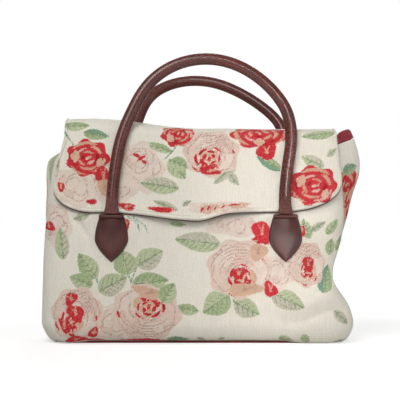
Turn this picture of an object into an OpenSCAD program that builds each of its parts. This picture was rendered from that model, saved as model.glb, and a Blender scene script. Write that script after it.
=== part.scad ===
// Flap-over handbag of rose tapestry cloth with two rolled leather handles.
// Millimetres, +Z up, front towards -Y, origin at the middle of the base on the floor.

/* [Body] */
// Width between the side seams at the base
body_w = 338; // [300:1:380]
// Width between the side seams at the mouth
mouth_w = 304; // [280:1:330]
// Height of the bound edge of the mouth
body_h = 222; // [205:1:250]
// Depth of the body at the base
base_d = 110; // [96:1:130]
// Depth of the body at the mouth
mouth_d = 44; // [38:1:56]
// Radius on which the panels roll under to the base
base_roll = 22; // [16:1:28]
// Width of the rounded edge of the front and back panels
edge_w = 22; // [14:1:30]
// Depth of that rounded edge at the base
edge_d_base = 20; // [12:1:26]
// Depth of that rounded edge at the mouth
edge_d_mouth = 10; // [6:1:14]
// Height of the lining turned over as a binding round the mouth
binding_h = 8; // [4:0.5:12]

/* [Cloth] */
// Thickness of the tapestry cloth
cloth_t = 1.6; // [1.2:0.1:2.2]
// Thickness of the lining cloth
lining_t = 0.8; // [0.5:0.1:1.2]
// Thickness of the base panel
base_t = 2; // [1.5:0.1:3]
// How far the base panel shows outside the roll
base_rim = 6; // [3:0.5:9]
// Thickness of the stiffening board in the base
board_t = 2.2; // [1.5:0.1:3]
// Gap left between layers that lie on each other
layer_gap = 0.2; // [0.1:0.05:0.4]

/* [Slouch] */
// Height of the crease pressed into the right side
crease_z = 70; // [55:1:90]
// Depth of that crease
crease_in = 18; // [0:1:24]
// Reach of the crease below its middle
crease_below = 24; // [14:1:26]
// Reach of the crease above its middle
crease_above = 38; // [24:1:50]
// Height at which the gussets stand out most
gusset_z = 192; // [170:1:205]
// How far the right gusset stands out
gusset_out_right = 23; // [8:1:26]
// How far the left gusset stands out
gusset_out_left = 10; // [4:1:20]
// Reach of that swelling below and above its middle
gusset_reach = 48; // [30:1:60]
// How far the top of the right gusset rises above the panels in its middle
gusset_rise = 7; // [0:1:10]

/* [Flap] */
// How far the flap lies off the cloth under it
flap_gap = 0.4; // [0.3:0.05:0.8]
// How far the left edge of the flap lies inside the seam
flap_in_left = 5.5; // [1:0.5:8]
// How far the right edge of the flap lies inside the seam
flap_in_right = 2; // [1:0.5:8]
// How much further in the left edge lies at the top fold
flap_taper = 1; // [0:0.5:14]
// Rise of the top fold over the mouth
flap_crown = 5.5; // [4:0.5:9]
// Extra rise of the fold at its left end
flap_peak = 11; // [0:1:16]
// Length of the flap down the back panel
flap_tail = 28; // [18:1:40]
// Height of the hem above the necks of the handles
hem_over = 5.5; // [1.5:0.5:6]
// Depth of the dip in the hem
hem_dip = 9; // [0:1:12]
// Reach of the dip to the left
dip_left = 58; // [45:1:60]
// Reach of the dip to the right
dip_right = 23; // [18:1:40]
// Width of the rounded left corner of the hem
corner_left_w = 46; // [30:1:60]
// Rise of the rounded left corner
corner_left_h = 28; // [18:1:36]
// Width of the rounded right corner of the hem
corner_right_w = 70; // [40:1:80]
// Rise of the rounded right corner
corner_right_h = 32; // [20:1:40]

/* [Snap] */
// Radius of the magnetic snap
snap_r = 9; // [7:0.5:10]
// Thickness of the half sewn to the front panel
snap_socket_h = 3; // [2:0.1:3.6]
// Thickness of the half sewn to the flap
snap_stud_h = 1.4; // [1:0.1:2]
// Radius of the stud
snap_pin_r = 2.6; // [2:0.1:3.5]
// Length of the stud
snap_pin_h = 1.6; // [1:0.1:1.8]
// Clearance round the stud
snap_fit = 0.3; // [0.2:0.05:0.6]
// Height of the snap above the hem
snap_over = 20; // [16:1:28]

/* [Handles] */
// Height of the necks where the handles leave their tabs
neck_z = 135; // [128:1:146]
// Distance of each neck from the middle of the bag
neck_x = 93.5; // [85:0.5:102]
// Radius of the rolled grip
grip_r = 5.7; // [5:0.1:7.5]
// Thickness of the leather sleeve
leather_t = 1.5; // [1:0.1:2]
// Height of the stitched ridge on the inside of the grip
seam_ridge = 1.6; // [0:0.1:2.5]
// Length of the straight legs above the necks
leg_h = 70; // [60:1:90]
// Rise of the arch above the legs
arch_h = 103; // [84:1:115]
// Sideways lean of the front grip, to the right
grip_sway = 12; // [0:1:16]
// How far the top of the front grip tips back to the left
grip_tip = 4; // [0:1:10]
// Width of the flattened tongue at each neck
tongue_w = 16; // [14:0.5:20]
// Thickness of the tongue
tongue_t = 4; // [3:0.1:5]
// Height above the neck where the grip is fully round
tongue_l = 20; // [16:1:26]
// Lean of the back handle away from the back panel, in degrees
back_lean = 32; // [0:1:40]
// Sideways lean of the back grip, to the right seen from the front
back_sway = 11; // [0:1:14]
// How far the top of the back grip tips over to the left of its legs
back_tip = 15; // [0:1:18]

/* [Tabs] */
// Height of the spade-shaped tab
tab_h = 49; // [42:1:56]
// Width of the tab at its top
tab_top_w = 27; // [24:1:34]
// Greatest width of the tab
tab_w = 36; // [34:1:44]
// Thickness of the tab
tab_t = 2.6; // [2:0.1:3]
// Height of the swell over the tongue at the top of the tab
tab_swell = 1.8; // [0:0.1:2]
// Length of that swell
swell_l = 18; // [12:1:24]
// Radius of the folded lip along the top of the tab
lip_r = 2.4; // [1.8:0.1:2.6]
// Clearance between the lip and the tongue that turns about it
lip_gap = 0.3; // [0.2:0.05:0.5]

/* [Hidden] */

// Colours of the cloth, the lining, the leather and the rest
cloth_colour = [0.89, 0.86, 0.79];
lining_colour = [0.50, 0.13, 0.15];
leather_colour = [0.34, 0.20, 0.18];
board_colour = [0.62, 0.58, 0.50];
cord_colour = [0.85, 0.82, 0.74];
metal_colour = [0.72, 0.66, 0.50];

// Fineness of the soft surfaces
edge_step = 22.5;
side_rows = 9;
front_cols = 6;
gusset_cols = 6;
flap_front_rows = 7;
flap_mid_cols = 9;
fold_step = 30;
grip_sides = 16;
core_sides = 10;
arch_step = 12;
tab_steps = 12;

// Derived heights and offsets
roll_z = base_t + base_roll;
panel_top = body_h - binding_h;
panel_lean = atan((base_d - mouth_d) / 2 / body_h);
lining_off = cloth_t + layer_gap;
roll_sag = base_roll * (1 - cos(edge_step / 2));
floor_z = base_t + board_t + 2 * layer_gap;
flap_t = lining_t + layer_gap + cloth_t;
fold_z = body_h + 1;
hem_z = neck_z + hem_over;
snap_z = hem_z - hem_dip + snap_over;
snap_lift = snap_socket_h + snap_stud_h + 4 * layer_gap - flap_gap;
snap_flat = 30;
snap_fade = 68;
neck_out = flap_gap + flap_t + lip_gap + tongue_t / 2;
tongue_start = lip_r + lip_gap;
rise_z = gusset_z - 40;
sway_low = 15;
tip_low = leg_h + 0.4 * arch_h;
sway_high = 125;

function lerp(a, b, t) = a + (b - a) * t;
function ease(a, b, v) = let (t = min(1, max(0, (v - a) / (b - a)))) t * t * (3 - 2 * t);
function bell(v, mid, below, above) = let (t = (v - mid) / (v < mid ? below : above)) exp(-t * t);
function reversed(list) = [for (k = [len(list) - 1 : -1 : 0]) list[k]];
function unit(v) = v / norm(v);

// Body surface: seams, half depth and rounded edge at a height
function left_x(z) = -(body_w / 2 - (body_w - mouth_w) / 2 * pow(z / body_h, 3));
function right_x(z) = body_w / 2 - (body_w - mouth_w) / 2 * z / body_h
    - crease_in * bell(z, crease_z, crease_below, crease_above);
function half_d(z) = lerp(base_d, mouth_d, z / body_h) / 2;
function edge_d(z) = lerp(edge_d_base, edge_d_mouth, z / body_h);
function gusset_out(z, side) = (side > 0 ? gusset_out_right : gusset_out_left)
    * bell(z, gusset_z, gusset_reach, gusset_reach);

// Front columns at a height, moved in by an inset, from the left seam to the right one
function front_line(z, inset, cols) =
    let (xl = left_x(z) + inset, xr = right_x(z) - inset, y = half_d(z) - inset, e = edge_d(z))
    concat(
        [for (a = [0 : edge_step : 89]) [xl + edge_w * (1 - cos(a)), e * (1 - sin(a)) - y, z]],
        [for (k = [0 : cols]) [lerp(xl + edge_w, xr - edge_w, k / cols), -y, z]],
        reversed([for (a = [0 : edge_step : 89]) [xr - edge_w * (1 - cos(a)), e * (1 - sin(a)) - y, z]]));
function back_line(z, inset, cols) = [for (p = reversed(front_line(z, inset, cols))) [p.x, -p.y, p.z]];
// Gusset columns on the right (side 1) or left (side -1), from seam to seam
function gusset_line(z, inset, side) =
    let (x = side > 0 ? right_x(z) - inset : left_x(z) + inset, y = half_d(z) - inset - edge_d(z))
    [for (k = [0 : gusset_cols]) let (s = k / gusset_cols)
        [x + side * gusset_out(z, side) * sin(180 * s), side * lerp(-y, y, s),
            z + (side > 0 ? gusset_rise : 0) * ease(rise_z, panel_top, z) * sin(180 * s)]];
function inner_points(line) = [for (k = [1 : len(line) - 2]) line[k]];
function ring(z, inset, cols) = concat(
    front_line(z, inset, cols), inner_points(gusset_line(z, inset, 1)),
    back_line(z, inset, cols), inner_points(gusset_line(z, inset, -1)));
function outline(z, inset) = [for (p = ring(z, inset, front_cols)) [p.x, p.y]];

// Height and inset of each row of a panel, a given depth inside the outer surface
function side_levels(depth) = [for (k = [0 : side_rows]) [lerp(roll_z, panel_top, k / side_rows), depth]];
function roll_level(a, depth) =
    [roll_z - (base_roll - depth) * cos(a), base_roll - (base_roll - depth) * sin(a)];
function panel_rows(depth) = concat([for (a = [0 : edge_step : 89]) roll_level(a, depth)], side_levels(depth));

// Closed solid between an outer and an inner grid of points of equal size
module sheet(outer, inner) {
    rows = len(outer);
    cols = len(outer[0]);
    points = [for (grid = [outer, inner]) for (row = grid) for (p = row) p];
    function at(side, r, c) = (side * rows + r) * cols + c;
    faces = concat(
        [for (r = [0 : rows - 2]) for (c = [0 : cols - 2]) each [
            [at(0, r, c), at(0, r + 1, c), at(0, r + 1, c + 1)],
            [at(0, r, c), at(0, r + 1, c + 1), at(0, r, c + 1)],
            [at(1, r, c), at(1, r + 1, c + 1), at(1, r + 1, c)],
            [at(1, r, c), at(1, r, c + 1), at(1, r + 1, c + 1)]]],
        [for (c = [0 : cols - 2]) each [
            [at(0, 0, c), at(0, 0, c + 1), at(1, 0, c + 1)],
            [at(0, 0, c), at(1, 0, c + 1), at(1, 0, c)],
            [at(0, rows - 1, c + 1), at(0, rows - 1, c), at(1, rows - 1, c)],
            [at(0, rows - 1, c + 1), at(1, rows - 1, c), at(1, rows - 1, c + 1)]]],
        [for (r = [0 : rows - 2]) each [
            [at(0, r + 1, 0), at(0, r, 0), at(1, r, 0)],
            [at(0, r + 1, 0), at(1, r, 0), at(1, r + 1, 0)],
            [at(0, r, cols - 1), at(0, r + 1, cols - 1), at(1, r + 1, cols - 1)],
            [at(0, r, cols - 1), at(1, r + 1, cols - 1), at(1, r, cols - 1)]]]);
    polyhedron(points, faces);
}

// Closed solid through rings of equal size, capped at both ends or closed on itself
module loft(rings, looped = false) {
    n = len(rings[0]);
    count = len(rings);
    function middle(r) = [for (p = r) 1] * r / n;
    points = concat([for (r = rings) for (p = r) p], looped ? [] : [middle(rings[0]), middle(rings[count - 1])]);
    function at(k, j) = (k % count) * n + j % n;
    walls = [for (k = [0 : count - (looped ? 1 : 2)]) for (j = [0 : n - 1]) each [
        [at(k, j), at(k + 1, j), at(k + 1, j + 1)],
        [at(k, j), at(k + 1, j + 1), at(k, j + 1)]]];
    caps = looped ? [] : [for (j = [0 : n - 1]) each [
        [count * n, at(0, j), at(0, j + 1)],
        [count * n + 1, at(count - 1, j + 1), at(count - 1, j)]]];
    polyhedron(points, concat(walls, caps));
}

// Front panel of tapestry, with its rounded edges and its roll under the base
module front_panel() {
    color(cloth_colour) sheet(
        [for (r = panel_rows(0)) front_line(r[0], r[1], front_cols)],
        [for (r = panel_rows(cloth_t)) front_line(r[0], r[1], front_cols)]);
}

// Back panel, the mirror of the front one
module back_panel() {
    color(cloth_colour) sheet(
        [for (r = panel_rows(0)) back_line(r[0], r[1], front_cols)],
        [for (r = panel_rows(cloth_t)) back_line(r[0], r[1], front_cols)]);
}

// Gusset let in between the two panels, swelling out near the mouth
module gusset(side) {
    color(cloth_colour) sheet(
        [for (r = panel_rows(0)) gusset_line(r[0], r[1], side)],
        [for (r = panel_rows(cloth_t)) gusset_line(r[0], r[1], side)]);
}

// Base panel that the bag stands on; its rim shows below the roll
module base_panel() {
    color(lining_colour) linear_extrude(base_t) polygon(outline(base_t, base_roll - base_rim));
}

// Stiffening board between the base panel and the lining
module base_board() {
    color(board_colour) translate([0, 0, base_t + layer_gap])
        linear_extrude(board_t) polygon(outline(base_t + board_t + layer_gap, base_roll + layer_gap));
}

// Lining bag, turned over the top edges of the panels as a binding
module lining() {
    function levels(depth, low) =
        let (clear = depth + roll_sag, first = acos(min(1, (roll_z - low) / (base_roll - clear))))
        concat([for (k = [0 : 2]) roll_level(lerp(first, 90, k / 3), clear)], side_levels(depth));
    outer = levels(lining_off, floor_z);
    inner = levels(lining_off + lining_t, floor_z + lining_t);
    binding = [
        [panel_top + layer_gap, lining_off], [panel_top + layer_gap, 0],
        [body_h, 0], [body_h, lining_off + lining_t]];
    color(lining_colour) loft([for (r = concat(outer, binding, reversed(inner))) ring(r[0], r[1], 2)]);
}

// Flap outline: side edges at a height and the hem across the width
function flap_left(z) = left_x(min(z, body_h)) + flap_in_left + flap_taper * ease(body_h - 26, body_h + 4, z);
function flap_right(z) = right_x(min(z, body_h)) - flap_in_right;
flap_w = flap_right(hem_z) - flap_left(hem_z);
share_left = corner_left_w / flap_w;
share_right = corner_right_w / flap_w;
function flap_shares() = concat(
    [for (a = [0 : edge_step : 89]) share_left * (1 - cos(a))],
    [for (k = [0 : flap_mid_cols]) lerp(share_left, 1 - share_right, k / flap_mid_cols)],
    reversed([for (a = [0 : edge_step : 89]) 1 - share_right * (1 - cos(a))]));
function corner_rise(share, width, rise) =
    share < width ? rise * (1 - sqrt(1 - pow(1 - share / width, 2))) : 0;
function hem(share) = let (x = lerp(flap_left(hem_z), flap_right(hem_z), share))
    hem_z - hem_dip * bell(x, 0, dip_left, dip_right)
    + corner_rise(share, share_left, corner_left_h) + corner_rise(1 - share, share_right, corner_right_h);
// How far the flap stands off over the snap, fading out to the sides and upwards
function flap_lift(x, z) = snap_lift * (1 - ease(snap_flat, snap_fade, abs(x)))
    * (1 - ease(snap_z + snap_flat, snap_z + snap_fade, z));
function fold_rise(x) = flap_crown + flap_peak * (1 - ease(-110, 10, x));

// Path of one column of the flap from the hem over the top fold to its tail on the back panel
function flap_point(share, z, front, off) =
    let (x = lerp(flap_left(z), flap_right(z), share))
    [x, (front ? -1 : 1) * (half_d(z) + flap_gap + off + (front ? flap_lift(x, z) : 0)), z];
function fold_point(share, a, off) =
    let (x = lerp(flap_left(fold_z), flap_right(fold_z), share), y = half_d(fold_z) + flap_gap + off)
    [x, -y * cos(a), fold_z + (fold_rise(x) + off) * sin(a)];
function flap_grid(off) = concat(
    [for (k = [0 : flap_front_rows]) [for (s = flap_shares())
        flap_point(s, lerp(hem(s), fold_z, k / flap_front_rows), true, off)]],
    [for (a = [fold_step : fold_step : 179]) [for (s = flap_shares()) fold_point(s, a, off)]],
    [for (k = [0, 1]) [for (s = flap_shares())
        flap_point(s, lerp(fold_z, body_h - flap_tail, k), false, off)]]);

// Outer cloth of the flap
module flap_cover() {
    color(cloth_colour) sheet(flap_grid(flap_t), flap_grid(lining_t + layer_gap));
}

// Lining of the flap, sewn to the cover along its edge
module flap_lining() {
    color(lining_colour) sheet(flap_grid(lining_t), flap_grid(0));
}

// Places its children on the front panel at a height: X across, Y up the cloth, Z out of it
module on_front(z) {
    translate([0, -half_d(z), z]) rotate([90 - panel_lean, 0, 0]) children();
}
module on_back(z) {
    rotate([0, 0, 180]) on_front(z) children();
}

// Magnet half of the snap on the front panel, with a well for the stud
module snap_socket() {
    color(metal_colour) on_front(snap_z) translate([0, 0, layer_gap]) difference() {
        cylinder(r = snap_r, h = snap_socket_h, $fn = 48);
        translate([0, 0, snap_socket_h - snap_pin_h - snap_fit])
            cylinder(r = snap_pin_r + snap_fit, h = snap_pin_h + 1, $fn = 32);
    }
}

// Stud half of the snap under the flap
module snap_stud() {
    color(metal_colour) on_front(snap_z) translate([0, 0, snap_socket_h + 2 * layer_gap]) {
        cylinder(r = snap_r - 1, h = snap_stud_h, $fn = 48);
        translate([0, 0, layer_gap - snap_pin_h]) cylinder(r = snap_pin_r, h = snap_pin_h, $fn = 32);
    }
}

// Half width of the spade tab at a share of its height from the top
function tab_half(t) = t < 0.5
    ? lerp(tab_top_w, tab_w, sin(180 * t)) / 2
    : tab_w / 2 * (1 - pow(2 * t - 1, 1.6));

// Spade tab sewn to the panel: plate, swell over the tongue and folded lip on the hinge line
module tab() {
    sides = [for (k = [0 : tab_steps - 1]) [tab_half(k / tab_steps), -tab_h * k / tab_steps]];
    color(leather_colour) {
        translate([0, 0, layer_gap]) linear_extrude(tab_t)
            polygon(concat(sides, [[0, -tab_h]], [for (p = reversed(sides)) [-p.x, p.y]]));
        rotate([90, 0, 90]) translate([0, 0, -tongue_w / 2]) linear_extrude(tongue_w)
            polygon([[0, layer_gap], [0, tab_t + tab_swell], [-swell_l, tab_t], [-swell_l, layer_gap]]);
        translate([-tab_top_w / 2, 0, neck_out]) rotate([0, 90, 0])
            cylinder(r = lip_r, h = tab_top_w, $fn = 32);
    }
}

// Line of the grip from the left neck over the arch to the right neck, across and up from the hinge
function sway(w, side, tip) = side * ease(sway_low, sway_high, w) + tip * ease(tip_low, leg_h + arch_h, w);
function leg_heights() = concat(
    [for (k = [0 : 4]) lerp(tongue_start, tongue_l, k / 4)],
    [for (k = [1 : 3]) lerp(tongue_l, leg_h, k / 3)]);
function grip_line(side, tip) = concat(
    [for (w = leg_heights()) [sway(w, side, tip) - neck_x, w]],
    [for (a = [arch_step : arch_step : 179]) let (w = leg_h + arch_h * sin(a))
        [sway(w, side, tip) - neck_x * cos(a), w]],
    [for (w = reversed(leg_heights())) [sway(w, side, tip) + neck_x, w]]);
function grip_along(line, k) = k == 0 ? [0, 1]
    : k == len(line) - 1 ? [0, -1]
    : unit(line[k + 1] - line[k - 1]);
// Section of the grip: a flat tongue at the neck that rounds up to a circle with a ridge on its inside
function grip_ring(line, k, wall, sides) =
    let (p = line[k], along = grip_along(line, k), round = ease(tongue_start, tongue_l, p[1]),
        wide = lerp(tongue_w / 2, grip_r, round) - wall, thick = lerp(tongue_t / 2, grip_r, round) - wall,
        out = (grip_r - tongue_t / 2) * round)
    [for (j = [0 : sides - 1]) let (f = 360 * j / sides,
        in = (wide + seam_ridge * round * pow(max(0, cos(f)), 8)) * cos(f))
        [p[0] + in * along[1], p[1] - in * along[0], out - thick * sin(f)]];

// Leather sleeve of a handle, rolled and stitched along its inside
module grip_sleeve(side, tip) {
    line = grip_line(side, tip);
    last = len(line) - 1;
    color(leather_colour) loft(concat(
        [for (k = [0 : last]) grip_ring(line, k, 0, grip_sides)],
        [for (k = [last : -1 : 0]) grip_ring(line, k, leather_t, grip_sides)]), looped = true);
}

// Cord core that keeps the sleeve round between the two tongues
module grip_core(side, tip) {
    line = grip_line(side, tip);
    first = 5;
    radius = grip_r - leather_t - layer_gap;
    color(cord_colour) loft([for (k = [first : len(line) - 1 - first])
        let (p = line[k], along = grip_along(line, k))
        [for (j = [0 : core_sides - 1]) let (f = 360 * j / core_sides)
            [p[0] + radius * cos(f) * along[1], p[1] - radius * cos(f) * along[0],
                grip_r - tongue_t / 2 - radius * sin(f)]]]);
}

// Handles hinge on the lips: the front one lies along the flap, the back one leans away
module on_front_neck() {
    on_front(neck_z) translate([0, 0, neck_out]) children();
}
module on_back_neck() {
    on_back(neck_z) translate([0, 0, neck_out]) rotate([back_lean, 0, 0]) children();
}

front_panel();
back_panel();
gusset(-1);  // left_gusset
gusset(1);  // right_gusset
base_panel();
base_board();
lining();
flap_cover();
flap_lining();
snap_socket();
snap_stud();
on_front(neck_z) translate([-neck_x, 0, 0]) tab();  // front_left_tab
on_front(neck_z) translate([neck_x, 0, 0]) tab();  // front_right_tab
on_front_neck() grip_sleeve(grip_sway, -grip_tip);  // front_grip
on_front_neck() grip_core(grip_sway, -grip_tip);  // front_core
on_back(neck_z) translate([neck_x, 0, 0]) tab();  // back_left_tab
on_back(neck_z) translate([-neck_x, 0, 0]) tab();  // back_right_tab
on_back_neck() grip_sleeve(-back_sway, back_tip);  // back_grip
on_back_neck() grip_core(-back_sway, back_tip);  // back_core
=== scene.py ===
"""Flap-over handbag of woven rose tapestry with two rolled leather handles, built piece by piece on
the CAD frame."""

import bpy
import numpy as np
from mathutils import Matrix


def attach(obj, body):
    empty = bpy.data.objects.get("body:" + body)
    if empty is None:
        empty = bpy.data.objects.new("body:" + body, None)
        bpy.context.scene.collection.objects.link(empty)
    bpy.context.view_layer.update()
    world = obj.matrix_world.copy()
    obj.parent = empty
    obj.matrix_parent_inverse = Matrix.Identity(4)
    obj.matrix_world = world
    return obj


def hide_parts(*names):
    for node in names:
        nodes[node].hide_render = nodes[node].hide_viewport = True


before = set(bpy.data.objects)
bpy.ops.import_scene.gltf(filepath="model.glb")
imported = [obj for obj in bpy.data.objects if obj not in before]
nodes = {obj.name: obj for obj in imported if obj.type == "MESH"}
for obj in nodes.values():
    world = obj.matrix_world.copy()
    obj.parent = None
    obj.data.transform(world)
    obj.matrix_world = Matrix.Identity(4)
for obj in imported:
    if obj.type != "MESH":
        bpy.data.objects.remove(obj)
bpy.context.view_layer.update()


# Base panel: a flat cut of dark red cloth that the bag stands on. Its rim shows as a thin dark
# line under the front. The CAD solid has the right shape, so it only gets its cloth.
def rgb(red, green, blue):
    """Linear colour of a screen colour written from 0 to 255."""
    c = np.array([red, green, blue]) / 255.0
    return (*np.where(c <= 0.04045, c / 12.92, ((c + 0.055) / 1.055) ** 2.4), 1.0)


def plug(mat, node, inputs):
    """Sets the inputs of a shader node, each to a value or to another node's output."""
    for key, value in inputs.items():
        if isinstance(value, bpy.types.NodeSocket):
            mat.node_tree.links.new(value, node.inputs[key])
        else:
            node.inputs[key].default_value = value


def add(mat, kind, inputs, **settings):
    """Adds one shader node to a material."""
    node = mat.node_tree.nodes.new("ShaderNode" + kind)
    for key, value in settings.items():
        setattr(node, key, value)
    plug(mat, node, inputs)
    return node


def calc(mat, operation, a, b=0.0):
    """Output of one math node."""
    return add(mat, "Math", {0: a, 1: b}, operation=operation).outputs[0]


def ramp(mat, value, low, high, to_low=0.0, to_high=1.0):
    """Value carried smoothly from one range to another."""
    keys = {"Value": value, "From Min": low, "From Max": high, "To Min": to_low, "To Max": to_high}
    return add(mat, "MapRange", keys, interpolation_type="SMOOTHSTEP").outputs[0]


def blend(mat, factor, first, second):
    """Colour between two colours."""
    return add(mat, "Mix", {0: factor, 6: first, 7: second}, data_type="RGBA").outputs[2]


def new_material(name, inputs):
    """Material with one Principled shader, and that shader's node."""
    mat = bpy.data.materials.new(name)
    mat.use_nodes = True
    shader = mat.node_tree.nodes["Principled BSDF"]
    plug(mat, shader, inputs)
    return mat, shader


def thread_height(mat, across, along, pitch):
    """Height of a plain weave: threads of one pitch that go over and under each other."""
    turn = 2 * np.pi / pitch
    warp = calc(mat, "SINE", calc(mat, "MULTIPLY", across, turn))
    weft = calc(mat, "SINE", calc(mat, "MULTIPLY", along, turn))
    return calc(mat, "MULTIPLY", warp, weft)


def plain_cloth(name, colour, worn, pitch):
    """Plain woven cloth in one colour with paler wear, drawn in object space."""
    mat, shader = new_material(name, {"Roughness": 0.8, "Sheen Weight": 0.2, "Sheen Roughness": 0.5})
    place = add(mat, "TexCoord", {}).outputs["Object"]
    axes = add(mat, "SeparateXYZ", {0: place}).outputs
    blotch = add(mat, "TexNoise", {"Vector": place, "Scale": 60.0, "Detail": 3.0}).outputs[0]
    across, along = calc(mat, "ADD", axes[0], axes[1]), calc(mat, "ADD", axes[2], axes[1])
    weave = thread_height(mat, across, along, pitch)
    height = calc(mat, "ADD", weave, calc(mat, "MULTIPLY", blotch, 0.6))
    bump = add(mat, "Bump", {"Height": height, "Strength": 0.35, "Distance": 0.0003}).outputs[0]
    shade = blend(mat, ramp(mat, blotch, 0.35, 0.75), colour, worn)
    plug(mat, shader, {"Base Color": shade, "Normal": bump})
    return mat


def dress(name, mat):
    """Gives a CAD node's object its material."""
    nodes[name].data.materials.clear()
    nodes[name].data.materials.append(mat)


base_cloth = plain_cloth("base_cloth", rgb(112, 34, 36), rgb(136, 52, 52), 0.0011)
dress("base_panel", base_cloth)

# Stiffening board: a plain cut of grey millboard that keeps the base flat. It is laid between the base
# panel and the lining, out of sight.
board, board_shader = new_material("board", {"Roughness": 0.9})
board_place = add(board, "TexCoord", {}).outputs["Object"]
board_fibre = add(board, "TexNoise", {"Vector": board_place, "Scale": 350.0, "Detail": 4.0}).outputs[0]
board_colour = blend(board, board_fibre, rgb(140, 132, 116), rgb(182, 174, 156))
plug(board, board_shader, {"Base Color": board_colour})
dress("base_board", board)


# Front panel: one cut of woven tapestry, cream with roses and leaf sprays, rolled under at the base
# and rounded into the side seams. It slouches: a crease presses in at the right, with soft folds.
BODY_W, MOUTH_W, BODY_H = 338.0, 304.0, 222.0
BASE_D, MOUTH_D = 110.0, 44.0
BASE_ROLL, BASE_T, BINDING_H = 22.0, 2.0, 8.0
EDGE_W, EDGE_D_BASE, EDGE_D_MOUTH = 22.0, 20.0, 10.0
CLOTH_T = 1.6
ROLL_Z = BASE_T + BASE_ROLL
PANEL_TOP = BODY_H - BINDING_H
NECK_X, NECK_Z = 93.5, 135.0


def ease(low, high, value):
    """Smooth step from 0 at low to 1 at high."""
    t = np.clip((value - low) / (high - low), 0.0, 1.0)
    return t * t * (3 - 2 * t)


def bell(value, middle, below, above):
    """Bell curve with its own reach on each side of its middle."""
    t = (value - middle) / np.where(value < middle, below, above)
    return np.exp(-t * t)


def left_x(z):
    """Left side seam at a height: the base width, drawn in by the cube of the height."""
    return -(BODY_W / 2 - (BODY_W - MOUTH_W) / 2 * (z / BODY_H) ** 3)


def right_x(z):
    """Right side seam at a height: a straight taper with the crease pressed into it."""
    return BODY_W / 2 - (BODY_W - MOUTH_W) / 2 * z / BODY_H - 18.0 * bell(z, 70.0, 24.0, 38.0)


def half_d(z):
    """Half the depth of the body at a height."""
    return (BASE_D + (MOUTH_D - BASE_D) * z / BODY_H) / 2


def edge_d(z):
    """Depth of the rounded edge of a panel at a height."""
    return EDGE_D_BASE + (EDGE_D_MOUTH - EDGE_D_BASE) * z / BODY_H


def droop(x, z):
    """How far the mouth hangs down at its left end, where the flap hides it."""
    return 4.0 * ease(184.0, BODY_H, z) * (1 - ease(-152.0, -118.0, x))


def drawn_in(x, z):
    """How far the cloth at the left end of the mouth is drawn in under the flap."""
    return 13.0 * ease(196.0, BODY_H, z) * (1 - ease(-158.0, -112.0, x))


def panel_levels(step, top=PANEL_TOP, depth=0.0):
    """Height and inset of the rows of a panel: a quarter circle under the base, then straight up."""
    reach = BASE_ROLL - depth
    a = np.linspace(0, np.pi / 2, int(BASE_ROLL * np.pi / 2 / step) + 1)
    side = np.linspace(ROLL_Z, top, int((top - ROLL_Z) / step) + 1)[1:]
    z = np.concatenate([ROLL_Z - reach * np.cos(a), side])
    return z, np.concatenate([BASE_ROLL - reach * np.sin(a), np.full(side.size, depth)])


def front_grid(z, inset, step):
    """Points of the front: an elliptic edge, the flat middle and the other edge, for each row."""
    z, inset = z[:, None], inset[:, None]
    a = np.linspace(0, np.pi / 2, int(EDGE_W * 1.5 / step) + 1)
    share = np.linspace(0, 1, int((BODY_W - 2 * EDGE_W) / step) + 1)[1:-1]
    xl, xr, y = left_x(z) + inset, right_x(z) - inset, half_d(z) - inset
    over, back = EDGE_W * (1 - np.cos(a)), edge_d(z) * (1 - np.sin(a)) - y
    middle = xl + EDGE_W + (xr - xl - 2 * EDGE_W) * share
    x = np.hstack([xl + over, middle, (xr - over)[:, ::-1]])
    depth = np.hstack([back, np.broadcast_to(-y, middle.shape), back[:, ::-1]])
    return np.stack([x + drawn_in(x, z), depth, z - droop(x, z)], axis=-1)


def normals(points):
    """Unit normals of a grid, from the cross product of its two directions."""
    n = np.cross(np.gradient(points, axis=1), np.gradient(points, axis=0))
    return n / np.maximum(np.linalg.norm(n, axis=-1, keepdims=True), 1e-9)


def cloth_places(points, column, row, across, up):
    """Place of each point in the flat cloth: lengths along the rows and columns of the grid, counted
    from one column and one row, which lie at the given places."""
    def along(axis, start, place):
        gaps = np.linalg.norm(np.diff(points, axis=axis), axis=-1)
        total = np.cumsum(np.insert(gaps, 0, 0.0, axis=axis), axis=axis)
        return total - np.take(total, [start], axis=axis) + place
    return along(1, column, across), along(0, row, up)


INKS = {
    "grey": rgb(182, 178, 154), "leaf": rgb(175, 185, 142), "mid": rgb(154, 172, 123),
    "teal": rgb(102, 148, 116), "vein": rgb(128, 146, 108), "red": rgb(197, 34, 44),
    "wine": rgb(156, 22, 34), "pale": rgb(221, 202, 188), "blush": rgb(217, 190, 174),
    "tan": rgb(207, 166, 139), "line": rgb(184, 144, 128),
}


def paint(fields, ink, inside):
    """Lays one shape of an ink over what is there: inside is how far each point lies within it."""
    for name in fields:
        if name == ink:
            fields[name] = np.maximum(fields[name], inside)
        else:
            fields[name] = np.minimum(fields[name], -inside)


def stroke_over(fields, ink, inside):
    """Lays a thin stroke over inks that come before it in INKS, which go on under it."""
    fields[ink] = np.maximum(fields[ink], inside)


def blob(u, v, x, z, wide, high, turn=0.0, lobes=0, wave=0.0, phase=0.0):
    """Ellipse with a waved outline."""
    c, s = np.cos(turn), np.sin(turn)
    p, q = ((u - x) * c + (v - z) * s) / wide, ((v - z) * c - (u - x) * s) / high
    edge = 1 + wave * np.cos(lobes * np.arctan2(q, p) + phase)
    return (edge - np.hypot(p, q)) * min(wide, high)


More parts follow.
